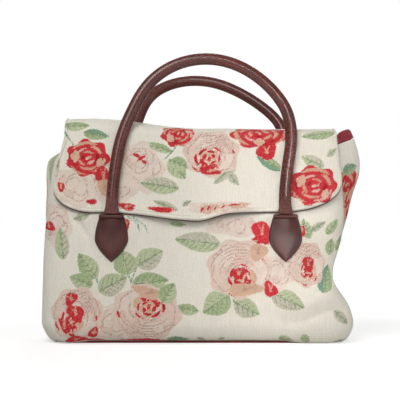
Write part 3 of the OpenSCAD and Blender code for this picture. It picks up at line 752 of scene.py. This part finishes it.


# Near-black brown, darker than the bag's lining cloth: painted shade for the shadow line under the hem.
flap_under_painted_shade = plain_cloth("flap_under_painted_shade", rgb(58, 22, 20), rgb(78, 36, 32), 0.0009)
# The lining hangs 1.2 mm below the cover's hem, so that its dark edge shows as a painted shadow line.
under_sheet = flap_sheet(flap_shares(5.0), LINING_T, 1.2, 20, 13, 8)
flap_under = surface("flap_lining_cloth", under_sheet, flap_under_painted_shade)
thicken(flap_under, LINING_T)
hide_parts("flap_lining")
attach(flap_under, "bag")

# Flap cover: tapestry cut to the flap's shape, turned under along the sides and the hem and
# topstitched a few millimetres in from the edge, which leaves a soft ridge there.
HEM_IN, FRONT_ROWS = 4.0, 60
shares = flap_shares(STEP)
cover = flap_sheet(shares, FLAP_T, 0.0, FRONT_ROWS, 37, 20)
cols = cover.shape[1]
mid_x = cover[:, cols // 2:cols // 2 + 1, 0]
cover_u, cover_v = cloth_places(cover, cols // 2, FRONT_ROWS - 1, mid_x, FOLD_Z)
from_side = np.minimum(cover_u - cover_u[:, :1], cover_u[:, -1:] - cover_u)
from_hem = cover_v - cover_v[:1]
from_tail = cover_v[-1:] - cover_v
from_edge = np.minimum(from_side, from_hem)
from_neck = np.abs(np.abs(cover_u - 2.0) - NECK_X)
ridge = 1.0 * bell(from_edge, 2.2, 1.9, 2.0) - 0.9 * bell(from_edge, HEM_IN, 0.9, 0.9)
ridge -= 1.4 * bell(from_edge, 0.0, 0.8, 0.9)
ridge -= 0.5 * bell(from_tail, HEM_IN, 0.9, 0.9) + 0.5 * bell(from_tail, 0.0, 0.8, 0.9)
pucker = 0.35 * np.sin(cover_u / 2.2) * bell(from_edge, HEM_IN + 2.0, 3.0, 4.0)
soft = 0.5 * np.sin(cover_u / 21.0 + cover_v / 37.0)
soft *= ease(8.0, 30.0, from_edge) * ease(14.0, 22.0, from_neck)
cover = cover + normals(cover) * (ridge + pucker + soft)[..., None]
flap = surface("flap_cover_cloth", cover, tapestry, places=(cover_u, cover_v),
               fields=draw_print(cover_u, cover_v, FLAP_SPRAYS))
thicken(flap, CLOTH_T)
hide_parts("flap_cover")
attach(flap, "bag")

# Topstitching of the flap: a row of cream thread round the sides and the hem, in the groove it makes,
# and a second row along the edge that is sewn to the back panel.
# A stitch is given by its pitch, its length and the radius of its thread.
TOPSTITCH, THREAD_UP = (3.4, 2.5, 0.35), 0.15
thread, thread_shader = new_material("cream_thread", {"Roughness": 0.6, "Sheen Weight": 0.3})
twist_place = add(thread, "TexCoord", {}).outputs["Object"]
twist = add(thread, "TexNoise", {"Vector": twist_place, "Scale": 900.0}).outputs[0]
plug(thread, thread_shader, {"Base Color": blend(thread, twist, rgb(190, 178, 150), rgb(214, 204, 180))})


def stitches(name, path, out, pitch, length, radius, mat):
    """Row of stitches along a path: equal grains of thread, thick in the middle, one every pitch, lying
    along the path with their backs in the cloth. out gives the direction out of the cloth."""
    gaps = np.linalg.norm(np.diff(path, axis=0), axis=1)
    run = np.concatenate([[0.0], np.cumsum(gaps)])
    at = np.arange(pitch / 2, run[-1], pitch)

    def along(values, shift=0.0):
        return np.stack([np.interp(at + shift, run, values[:, k]) for k in range(3)], axis=-1)

    ahead = along(path, 0.3) - along(path, -0.3)
    ahead /= np.linalg.norm(ahead, axis=1, keepdims=True)
    up = along(out) - ahead * np.sum(along(out) * ahead, axis=1, keepdims=True)
    up /= np.linalg.norm(up, axis=1, keepdims=True)
    side = np.cross(up, ahead)
    angle = np.arange(6) * np.pi / 3
    ends = np.array([-1.0, -0.55, 0.55, 1.0]) * length / 2
    thick = np.array([0.35, 1.0, 1.0, 0.35]) * radius
    ring = (np.cos(angle)[None, :, None, None] * side + np.sin(angle)[None, :, None, None] * up)
    grain = along(path) + ends[:, None, None, None] * ahead + thick[:, None, None, None] * ring
    grain = grain.transpose(2, 0, 1, 3)
    count = len(at)
    index = np.arange(24).reshape(4, 6)
    nxt = np.roll(index, -1, axis=1)
    quads = np.stack([index[:-1], nxt[:-1], nxt[1:], index[1:]], axis=-1).reshape(-1, 4)
    shift = 24 * np.arange(count)[:, None, None]
    faces = (quads[None] + shift).reshape(-1, 4).tolist()
    faces += (index[0][::-1][None] + shift[:, 0]).tolist() + (index[-1][None] + shift[:, 0]).tolist()
    mesh = bpy.data.meshes.new(name)
    mesh.from_pydata((grain.reshape(-1, 3) / 1000).tolist(), [], faces)
    mesh.shade_smooth()
    mesh.materials.append(mat)
    piece = bpy.data.objects.new(name, mesh)
    bpy.context.scene.collection.objects.link(piece)
    return piece


def inset_line(points, distance):
    """Line a distance inside the sides and the hem of the flap's grid, from fold to hem to fold, with the
    direction out of the cloth."""
    out = normals(points)
    row = np.argmin(np.abs(from_hem - distance), axis=0)
    left = np.argmin(np.abs(from_side[:, :cols // 2] - distance), axis=1)
    right = cols - 1 - np.argmin(np.abs(from_side[:, :cols // 2 - 1:-1] - distance), axis=1)
    c0, c1 = left[row[left[0]]], right[row[right[0]]]
    top = FRONT_ROWS - 1
    r = np.concatenate([np.arange(top - 1, row[c0], -1), row[c0:c1 + 1], np.arange(row[c1] + 1, top)])
    c = np.concatenate([left[top - 1:row[c0]:-1], np.arange(c0, c1 + 1), right[row[c1] + 1:top]])
    return points[r, c], out[r, c]


hem_path, hem_out = inset_line(cover, HEM_IN)
hem_stitching = stitches("flap_topstitching", hem_path + THREAD_UP * hem_out, hem_out, *TOPSTITCH, thread)
tail_row = int(np.argmin(np.abs(from_tail[-10:, cols // 2] - HEM_IN))) - 10
tail_out = normals(cover)[tail_row, 3:-3]
tail_path = cover[tail_row, 3:-3] + THREAD_UP * tail_out
tail_stitching = stitches("flap_tail_stitching", tail_path, tail_out, *TOPSTITCH, thread)
for row in (hem_stitching, tail_stitching):
    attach(row, "bag")

# Magnetic snap: two plated metal discs shut on each other, one clenched under the flap and one through
# the front, out of sight.
snap_metal, snap_shader = new_material("snap_metal", {"Metallic": 1.0})
snap_place = add(snap_metal, "TexCoord", {}).outputs["Object"]
snap_wear = add(snap_metal, "TexNoise", {"Vector": snap_place, "Scale": 800.0, "Detail": 3.0}).outputs[0]
snap_colour = blend(snap_metal, snap_wear, rgb(196, 178, 130), rgb(214, 200, 160))
snap_rough = ramp(snap_metal, snap_wear, 0.3, 0.7, 0.25, 0.45)
plug(snap_metal, snap_shader, {"Base Color": snap_colour, "Roughness": snap_rough})
dress("snap_socket", snap_metal)
dress("snap_stud", snap_metal)

# Tabs: spade-shaped cuts of brown leather, slightly domed and swollen at the top over the tongue of
# the handle, sewn on close to the edge, with a folded lip along the top on which the handle turns.
PANEL_LEAN = np.arctan((BASE_D - MOUTH_D) / 2 / BODY_H)
TAB_H, TAB_TOP_W, TAB_W, TAB_T = 49.0, 27.0, 36.0, 2.6
TAB_GAP, STITCH_IN, TAB_STITCH = 0.2, 2.4, (3.0, 2.2, 0.4)
LIP_R, LIP_GAP, TONGUE_T = 2.4, 0.3, 4.0
NECK_OUT = FLAP_GAP + FLAP_T + LIP_GAP + TONGUE_T / 2


def smooth_leather(name, dark, light, rough, relief, shine):
    """Waxed brown leather: fine grain of pressed cells, slow changes of tone and of shine."""
    mat, shader = new_material(name, {"Specular IOR Level": shine, "Coat Weight": 0.6 * shine,
                                      "Coat Roughness": rough - 0.04})
    place = add(mat, "TexCoord", {}).outputs["Object"]
    grain = add(mat, "TexVoronoi", {"Vector": place, "Scale": 900.0}, feature="DISTANCE_TO_EDGE").outputs[0]
    pull = add(mat, "TexNoise", {"Vector": place, "Scale": 420.0, "Detail": 3.0}).outputs[0]
    tone = add(mat, "TexNoise", {"Vector": place, "Scale": 38.0, "Detail": 3.0}).outputs[0]
    height = calc(mat, "ADD", ramp(mat, grain, 0.0, 0.25), calc(mat, "MULTIPLY", pull, 0.8))
    bump = add(mat, "Bump", {"Height": height, "Strength": relief, "Distance": 0.0003}).outputs[0]
    plug(mat, shader, {"Base Color": blend(mat, ramp(mat, tone, 0.3, 0.72), dark, light), "Normal": bump,
                       "Roughness": ramp(mat, pull, 0.3, 0.75, rough - 0.06, rough + 0.1)})
    return mat


leather = smooth_leather("leather", rgb(60, 20, 13), rgb(82, 32, 24), 0.36, 0.15, 0.28)
brown_thread, brown_shader = new_material("brown_thread", {"Roughness": 0.6})
ply_place = add(brown_thread, "TexCoord", {}).outputs["Object"]
ply = add(brown_thread, "TexNoise", {"Vector": ply_place, "Scale": 1200.0}).outputs[0]
plug(brown_thread, brown_shader, {"Base Color": blend(brown_thread, ply, rgb(36, 20, 18), rgb(56, 36, 31))})


def tab_half(t):
    """Half the width of a tab at a share of its height from the top: it swells to the middle on a sine
    and runs to a point on a power curve."""
    swell = (TAB_TOP_W + (TAB_W - TAB_TOP_W) * np.sin(np.pi * np.minimum(t, 0.5))) / 2
    return np.where(t < 0.5, swell, TAB_W / 2 * (1 - np.clip(2 * t - 1, 0, 1) ** 1.6))


def place_on_front(points, x, turned):
    """Carries points from the cloth's own axes (across, up the cloth, out of it) at a neck to the bag, and
    round to the back if turned."""
    c, s = np.cos(PANEL_LEAN), np.sin(PANEL_LEAN)
    across, up, out = points[..., 0] + x, points[..., 1], points[..., 2]
    moved = np.stack([across, -half_d(NECK_Z) + up * s - out * c, NECK_Z + up * c + out * s], axis=-1)
    return moved * np.array([-1.0, -1.0, 1.0]) if turned else moved


def tab_top(across, t):
    """Height of the tab's face: full in the middle, rounded down at the edge, grooved along the stitches,
    swollen over the tongue."""
    half = np.maximum(tab_half(t), 0.3)
    edge = np.minimum(half - np.abs(across), (1 - t) * TAB_H * 0.75)
    face = TAB_T * np.sqrt(1 - np.clip(1 - edge / 1.5, 0, 1) ** 2) + 0.5 * ease(2.0, 10.0, edge)
    face = face - 0.45 * bell(edge, STITCH_IN, 0.6, 0.6)
    return face + 1.5 * (1 - ease(2.0, 13.0, np.abs(across))) * (1 - ease(0.02, 0.55, t))


def tab_pad():
    """Closed pad of the tab: the domed face, and the flat back that lies on the cloth."""
    t = np.concatenate([np.linspace(0, 0.94, 46), [0.955, 0.97, 0.982, 0.992]])[::-1, None]
    s = np.sin(np.linspace(-1, 1, 41) * np.pi / 2)
    across = tab_half(t) * s
    up = -TAB_H * t + 0 * s
    face = np.stack([across, up, TAB_GAP + np.maximum(tab_top(across, t), 0.3)], axis=-1)
    back = np.stack([across, up, np.full(across.shape, TAB_GAP)], axis=-1)
    return np.hstack([face, back[:, ::-1]])


def lip_roll():
    """Folded lip: a roll along the top edge with rounded ends, a little thinner towards them."""
    s = np.linspace(-1, 1, 33)[:, None]
    a = np.linspace(0, 2 * np.pi, 20, endpoint=False)
    end = np.sqrt(1 - np.clip((np.abs(s) - 0.86) / 0.15, 0, 1) ** 2)
    radius = LIP_R * np.maximum(end, 0.12) * (1 - 0.06 * s**2)
    flat = 1 - 0.12 * np.abs(np.cos(a))
    across = s * TAB_TOP_W / 2 + 0 * a
    return np.stack([across, radius * np.sin(a) * flat, NECK_OUT - radius * np.cos(a)], axis=-1)


def tab_stitch_line():
    """Line of the stitches, a little inside the edge of the tab, from the top left round the tip."""
    t = np.linspace(0.03, 0.945, 60)
    slope = np.gradient(tab_half(t), t) / TAB_H
    across = tab_half(t) - STITCH_IN / np.sqrt(1 + slope**2) - 1.5 * ease(0.7, 0.95, t)
    across, t = np.concatenate([-across, across[::-1]]), np.concatenate([t, t[::-1]])
    return np.stack([across, -TAB_H * t, TAB_GAP + tab_top(across, t) + 0.05], axis=-1)


for name, x, turned in (("front_left_tab", -NECK_X, False), ("front_right_tab", NECK_X, False),
                        ("back_left_tab", NECK_X, True), ("back_right_tab", -NECK_X, True)):
    tab = surface(name + "_pad", place_on_front(tab_pad(), x, turned), leather, wrap=True, cap=True)
    lip = surface(name + "_lip", place_on_front(lip_roll(), x, turned), leather, wrap=True, cap=True)
    seam = tab_stitch_line()
    seam_path = place_on_front(seam, x, turned)
    seam_out = place_on_front(seam + np.array([0.0, 0.0, 1.0]), x, turned) - seam_path
    row = stitches(name + "_stitching", seam_path, seam_out, *TAB_STITCH, brown_thread)
    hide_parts(name)
    for piece in (tab, lip, row):
        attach(piece, "bag")

# Grips: leather rolled round a cord core and stitched together along the inside, where the two edges
# stand up as a ridge. Each end is pressed flat to a tongue that bends at the lip of its tab.
GRIP_R, SEAM_RIDGE, LEG_H, ARCH_H = 5.7, 1.6, 70.0, 103.0
TONGUE_W, TONGUE_L, BACK_LEAN = 16.0, 20.0, np.radians(32.0)
TONGUE_START = LIP_R + LIP_GAP
SEAM_ANGLE, SEAM_FROM, GRIP_STITCH = 0.36, 24.0, (3.6, 2.7, 0.36)


def grip_path(sway, tip, count):
    """Line of the grip, across and up from the hinge: straight legs and half an ellipse, swaying to one
    side and tipping over at the top, at even lengths."""
    w = np.linspace(TONGUE_START, LEG_H, 120)
    a = np.linspace(0, np.pi, 240)[1:-1]
    x = np.concatenate([np.full(120, -NECK_X), -NECK_X * np.cos(a), np.full(120, NECK_X)])
    up = np.concatenate([w, LEG_H + ARCH_H * np.sin(a), w[::-1]])
    aside = sway * ease(15.0, 125.0, up) + tip * ease(LEG_H + 0.4 * ARCH_H, LEG_H + ARCH_H, up)
    path = np.stack([x + aside, up], axis=-1)
    run = np.concatenate([[0.0], np.cumsum(np.linalg.norm(np.diff(path, axis=0), axis=1))])
    at = np.linspace(0, run[-1], count)
    return np.stack([np.interp(at, run, path[:, 0]), np.interp(at, run, path[:, 1])], axis=-1), at


def grip_section(path, angle, stand=0.0):
    """Points round the grip at each place of its path: a flat oval at the tongues that rounds to a circle,
    with the stitched ridge on its inside."""
    ahead = np.gradient(path, axis=0)
    ahead[[0, -1], 0] = 0.0
    ahead /= np.linalg.norm(ahead, axis=1, keepdims=True)
    full = ease(TONGUE_START, TONGUE_L, path[:, 1])[:, None]
    pinch = 1 - 0.07 * bell(path[:, 1:2], TONGUE_START + 7.0, 3.0, 4.0)
    wide = (TONGUE_W / 2 + (GRIP_R - TONGUE_W / 2) * full) * pinch + stand
    thick = TONGUE_T / 2 + (GRIP_R - TONGUE_T / 2) * full + stand
    ridge = SEAM_RIDGE * full * np.clip(np.cos(angle), 0, 1) ** 14
    inward = (wide + ridge) * np.cos(angle)
    out = (GRIP_R - TONGUE_T / 2) * full - thick * np.sin(angle)
    across, up = path[:, :1] + inward * ahead[:, 1:], path[:, 1:] - inward * ahead[:, :1]
    return np.stack([across, up, out], axis=-1)


def place_grip(points, turned):
    """Carries a grip to its hinge on the front, or leaning away from the back."""
    if turned:
        c, s = np.cos(BACK_LEAN), np.sin(BACK_LEAN)
        points = np.stack([points[..., 0], points[..., 1] * c - points[..., 2] * s,
                           points[..., 1] * s + points[..., 2] * c], axis=-1)
    return place_on_front(points + np.array([0.0, 0.0, NECK_OUT]), 0.0, turned)


polished = smooth_leather("polished_leather", rgb(80, 32, 24), rgb(102, 44, 34), 0.29, 0.03, 0.42)
round_angles = np.linspace(0, 2 * np.pi, 40, endpoint=False)
for body, turned, sway, tip in (("front", False, 12.0, -4.0), ("back", True, -11.0, 15.0)):
    path, run = grip_path(sway, tip, 260)
    sleeve = place_grip(grip_section(path, round_angles), turned)
    grip = surface(body + "_grip_leather", sleeve, polished, wrap=True, cap=True)
    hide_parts(body + "_grip")
    pieces = [grip]
    middle = (run > SEAM_FROM) & (run < run[-1] - SEAM_FROM)
    for side, angle in (("outer", -SEAM_ANGLE), ("inner", SEAM_ANGLE)):
        skin = grip_section(path, np.array([angle]), 0.05)[middle, 0]
        above = grip_section(path, np.array([angle]), 1.05)[middle, 0] - skin
        above[:, 2] -= np.sign(angle) * 1.2
        seam_path = place_grip(skin, turned)
        seam_out = place_grip(skin + above, turned) - seam_path
        row_name = f"{body}_grip_{side}_stitching"
        pieces.append(stitches(row_name, seam_path, seam_out, *GRIP_STITCH, brown_thread))
    for piece in pieces:
        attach(piece, body + "_handle")

# Cord cores: twisted cotton cord that keeps the grips round. The leather is rolled round it and sewn
# shut, so it is out of sight.
cord, cord_shader = new_material("core_cord", {"Roughness": 0.9})
cord_place = add(cord, "TexCoord", {}).outputs["Object"]
strand = add(cord, "TexNoise", {"Vector": cord_place, "Scale": 500.0, "Detail": 2.0}).outputs[0]
plug(cord, cord_shader, {"Base Color": blend(cord, strand, rgb(196, 188, 168), rgb(226, 218, 200))})
dress("front_core", cord)
dress("back_core", cord)

# Studio: a white floor and backdrop, soft boxes and a camera in front at about the height of the hem.
# The floor glows a little to the eye so that it comes out white, less near the bag, where its shadow lies.
FRAME_PX, MM_PER_PX, FRONT_Y, CAMERA_GAP = 400, 1.067, -50.0, 1600.0
CAMERA_X, CAMERA_Z, MIDDLE_Z, SENSOR = 1.6, 165.0, 153.5, 36.0
FLOOR_REACH, FLOOR_Z = 6000.0, -0.5

floor_mat, floor_shader = new_material("studio_floor", {"Base Color": rgb(225, 225, 225), "Roughness": 0.9,
                                                        "Specular IOR Level": 0.0})
seen = add(floor_mat, "LightPath", {}).outputs
mirrored = calc(floor_mat, "MAXIMUM", seen["Is Glossy Ray"], seen["Is Transmission Ray"])
direct = calc(floor_mat, "MAXIMUM", seen["Is Camera Ray"], mirrored)
floor_place = add(floor_mat, "TexCoord", {}).outputs["Object"]
away = add(floor_mat, "VectorMath", {0: floor_place}, operation="LENGTH").outputs["Value"]
lift = calc(floor_mat, "MULTIPLY", direct, ramp(floor_mat, away, 0.2, 0.7, 0.49, 0.75))
white = add(floor_mat, "Emission", {"Color": (1.0, 1.0, 1.0, 1.0), "Strength": lift}).outputs[0]
both = add(floor_mat, "AddShader", {0: floor_shader.outputs[0], 1: white}).outputs[0]
floor_mat.node_tree.links.new(both, floor_mat.node_tree.nodes["Material Output"].inputs[0])
floor_x, floor_y = np.meshgrid([-FLOOR_REACH, FLOOR_REACH], [-FLOOR_REACH, FLOOR_REACH])
floor_grid = np.stack([floor_x, floor_y, np.full(floor_x.shape, FLOOR_Z)], axis=-1)
surface("studio_floor", floor_grid, floor_mat)

world = bpy.data.worlds.new("studio")
bpy.context.scene.world = world
world.use_nodes = True
sky = world.node_tree.nodes["Background"]
sky_seen = world.node_tree.nodes.new("ShaderNodeLightPath").outputs["Is Camera Ray"]
level = world.node_tree.nodes.new("ShaderNodeMapRange")
level.inputs["To Min"].default_value, level.inputs["To Max"].default_value = 0.33, 1.0
world.node_tree.links.new(sky_seen, level.inputs["Value"])
world.node_tree.links.new(level.outputs[0], sky.inputs["Strength"])
sky.inputs["Color"].default_value = (1.0, 1.0, 1.0, 1.0)


def soft_box(name, place, aim, wide, high, watts, spread=180.0):
    """Area lamp at a place, turned to an aim, in millimetres. A spread under 180 degrees fits it with a
    grid that keeps its light near the aim."""
    lamp = bpy.data.lights.new(name, "AREA")
    lamp.shape, lamp.size, lamp.size_y, lamp.energy = "RECTANGLE", wide / 1000, high / 1000, watts
    lamp.spread = np.radians(spread)
    holder = bpy.data.objects.new(name, lamp)
    bpy.context.scene.collection.objects.link(holder)
    holder.location = np.array(place) / 1000
    way = (np.array(aim) - np.array(place)) / np.linalg.norm(np.array(aim) - np.array(place))
    holder.rotation_euler = (np.arccos(-way[2]), 0.0, np.arctan2(way[1], way[0]) - np.pi / 2)


soft_box("key", (-260, -660, 780), (0, 0, 240), 400, 350, 0.74, 80.0)
soft_box("fill", (1100, -1000, 600), (0, 0, 140), 500, 900, 2.4)
soft_box("low_fill", (-200, -1500, 160), (-30, 0, 120), 900, 300, 0.5)
soft_box("top", (0, 200, 1600), (0, 0, 140), 1200, 900, 0.6)
soft_box("behind", (200, 1600, 900), (0, 0, 140), 900, 700, 7.0)
soft_box("front_box", (-160, -1450, 760), (0, -40, 210), 300, 260, 2.8)
soft_box("right_strip", (110, -1250, 440), (93, -40, 120), 70, 320, 0.046, 12.0)

camera = bpy.data.cameras.new("camera")
eye = bpy.data.objects.new("camera", camera)
bpy.context.scene.collection.objects.link(eye)
bpy.context.scene.camera = eye
eye.location = (CAMERA_X / 1000, (FRONT_Y - CAMERA_GAP) / 1000, CAMERA_Z / 1000)
eye.rotation_euler = (np.pi / 2, 0.0, 0.0)
camera.sensor_width = SENSOR
camera.lens = SENSOR * CAMERA_GAP / (FRAME_PX * MM_PER_PX)
camera.shift_y = (MIDDLE_Z - CAMERA_Z) / (FRAME_PX * MM_PER_PX)
bpy.context.scene.view_settings.view_transform = "Standard"
